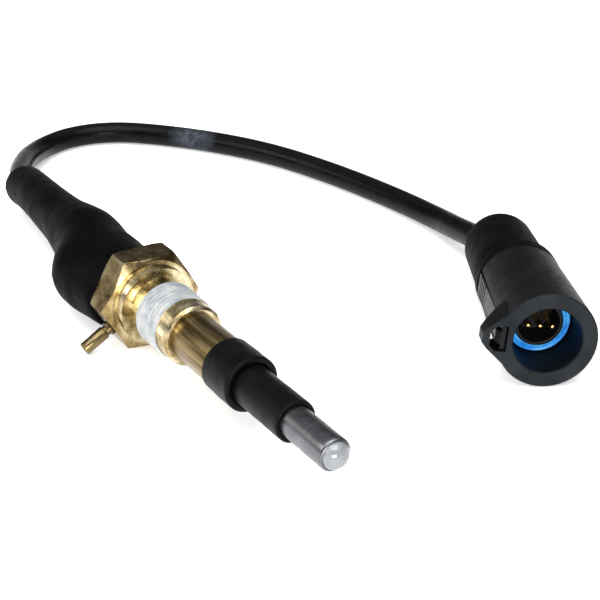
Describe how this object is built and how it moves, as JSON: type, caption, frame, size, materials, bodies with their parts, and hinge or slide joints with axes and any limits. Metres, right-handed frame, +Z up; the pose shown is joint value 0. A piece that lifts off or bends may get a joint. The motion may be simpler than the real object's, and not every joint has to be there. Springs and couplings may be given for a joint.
{
  "type": "flame sensor probe",
  "caption": "Brass screw-in optical flame sensor with a stainless sight tube, black rubber boot, and a short lead ending in a round sealed connector.",
  "frame": {"origin": "on the probe's axis, at the front face of the hexagon, where the fitting's face comes", "axes": "+X along the probe towards the sensing tip, +Z up with a flat of the hexagon down, +Y towards the side where the lead and connector lie"},
  "size_m": [0.2334, 0.1269, 0.0247],
  "materials": {
    "brass": "machined",
    "seal_tape": "matt",
    "stainless": "satin",
    "window_glass": "polished",
    "sleeve_black": "satin",
    "o_ring_rubber": "matt",
    "holder_plastic": "matt",
    "liner_plastic": "matt",
    "core_insulation": "satin",
    "potting": "matt",
    "crimp_metal": "satin",
    "boot_rubber": "satin",
    "lead_jacket": "satin",
    "housing_plastic": "satin",
    "latch_plastic": "satin",
    "seal_blue": "satin",
    "insert_plastic": "matt",
    "contact_gold": "polished"
  },
  "bodies": {
    "probe": {"hex_body": "brass", "shank_tube": "brass", "purge_nipple": "brass", "thread_seal_tape": "seal_tape", "sheath_tube": "stainless", "gland_nut": "stainless", "gland_washer": "stainless", "diode_can": "stainless", "diode_leads": "stainless", "lens": "window_glass", "outer_sleeve": "sleeve_black", "inner_sleeve": "sleeve_black", "lens_gasket": "o_ring_rubber", "sheath_o_ring": "o_ring_rubber", "wire_grommet": "o_ring_rubber", "diode_holder": "holder_plastic", "splice_sleeves": "holder_plastic", "wire_liner": "liner_plastic", "core_wire_1": "core_insulation", "core_wire_2": "core_insulation", "core_wire_3": "core_insulation", "tail_wires": "core_insulation", "potting_plug": "potting", "lead_crimp": "crimp_metal", "rubber_boot": "boot_rubber", "backshell": "boot_rubber", "lead_cable": "lead_jacket", "lead_in_boot": "lead_jacket", "lead_in_backshell": "lead_jacket", "connector_housing": "housing_plastic", "interface_seal": "seal_blue", "pin_insert": "insert_plastic", "contact_pin_1": "contact_gold", "contact_pin_2": "contact_gold", "contact_pin_3": "contact_gold"},
    "latch": {"latch_arm": "latch_plastic"}
  },
  "joints": [
    {"name": "latch_rock", "type": "hinge", "parent": "probe", "child": "latch", "pos_m": [0.0436, 0.07399, 0.00032], "axis": [-0.0142, -0.1029, -0.9946], "range_deg": [0, 3], "stiffness_Nm_per_rad": 0.3, "springref_deg": -1.15}
  ]
}
